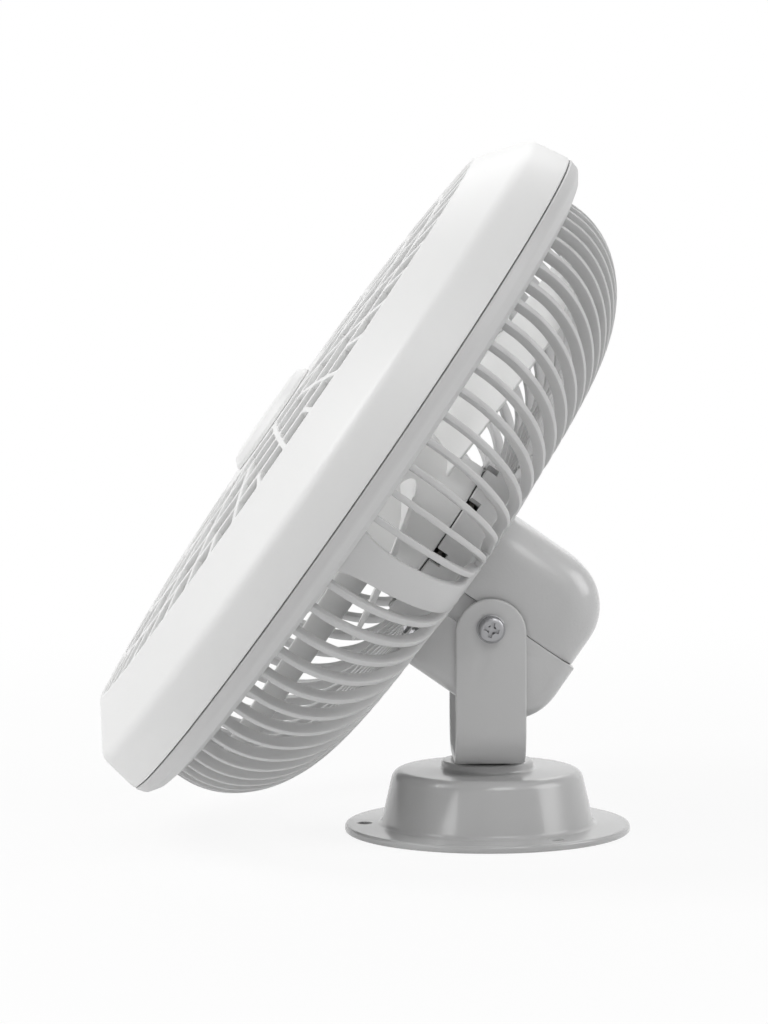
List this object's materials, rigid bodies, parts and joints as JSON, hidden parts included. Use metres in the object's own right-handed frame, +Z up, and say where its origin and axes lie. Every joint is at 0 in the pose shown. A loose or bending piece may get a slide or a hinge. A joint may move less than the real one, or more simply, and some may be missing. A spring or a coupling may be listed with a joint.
{
  "type": "tilting table and wall fan",
  "caption": "Round caged fan head with a white bezel, tilting in a U strap that swivels on a screw-down round base.",
  "frame": {"origin": "centre of the base's underside, on the plane that the fan stands on", "axes": "+Z up out of the surface, X along the tilt axis, the fan blows towards -Y"},
  "size_m": [0.23, 0.1605, 0.2089],
  "materials": {
    "white_plastic": "satin moulded",
    "cage_plastic": "satin moulded",
    "grey_plastic": "satin moulded",
    "grey_paint": "semi-gloss enamel",
    "strap_paint": "satin enamel",
    "screw_steel": "zinc plated",
    "bearing_steel": "ground",
    "dark_steel": "blackened",
    "magnet": "matt",
    "copper_wire": "enamelled wire",
    "black_plastic": "semi-gloss",
    "board_green": "solder mask"
  },
  "bodies": {
    "base": {"base_shell": "grey_paint", "base_weight": "dark_steel", "base_weight_screw_1": "screw_steel", "base_weight_screw_2": "screw_steel", "base_weight_screw_3": "screw_steel", "swivel_screw": "screw_steel", "swivel_washer": "screw_steel", "swivel_nut": "screw_steel"},
    "strap": {"strap": "strap_paint"},
    "head": {"tilt_screw_right": "screw_steel", "tilt_screw_left": "screw_steel", "tilt_washer_right": "screw_steel", "tilt_washer_left": "screw_steel", "tilt_nut_right": "screw_steel", "tilt_nut_left": "screw_steel", "housing_screw_right": "screw_steel", "housing_screw_left": "screw_steel", "housing_upper": "grey_plastic", "housing_lower": "grey_plastic", "switch_body": "black_plastic", "power_inlet": "black_plastic", "control_board": "board_green", "front_guard": "white_plastic", "centre_cap": "white_plastic", "rear_basket": "cage_plastic", "basket_screw_1": "screw_steel", "basket_screw_2": "screw_steel", "basket_screw_3": "screw_steel", "basket_screw_4": "screw_steel", "motor_base": "dark_steel", "motor_screw_1": "screw_steel", "motor_screw_2": "screw_steel", "motor_screw_3": "screw_steel", "bearing_rear": "bearing_steel", "bearing_front": "bearing_steel", "stator_core": "dark_steel", "stator_windings": "copper_wire"},
    "rotor": {"rotor_can": "dark_steel", "magnet_ring": "magnet", "motor_shaft": "bearing_steel", "impeller": "white_plastic", "blade_nut": "white_plastic"},
    "rocker": {"switch_rocker": "black_plastic"}
  },
  "joints": [
    {"name": "swivel", "type": "hinge", "parent": "base", "child": "strap", "pos_m": [0, 0, 0.0216], "axis": [0, 0, 1], "continuous": true},
    {"name": "tilt", "type": "hinge", "parent": "strap", "child": "head", "pos_m": [0, 0, 0.064], "axis": [-1, 0, 0], "range_deg": [-8, 106]},
    {"name": "fan_spin", "type": "hinge", "parent": "head", "child": "rotor", "pos_m": [0, 0.00769, 0.07498], "axis": [0, -0.8192, 0.5736], "continuous": true},
    {"name": "switch_rock", "type": "hinge", "parent": "head", "child": "rocker", "pos_m": [0, 0.02794, 0.05701], "axis": [0, 0.5736, 0.8192], "range_deg": [-9, 9]}
  ]
}
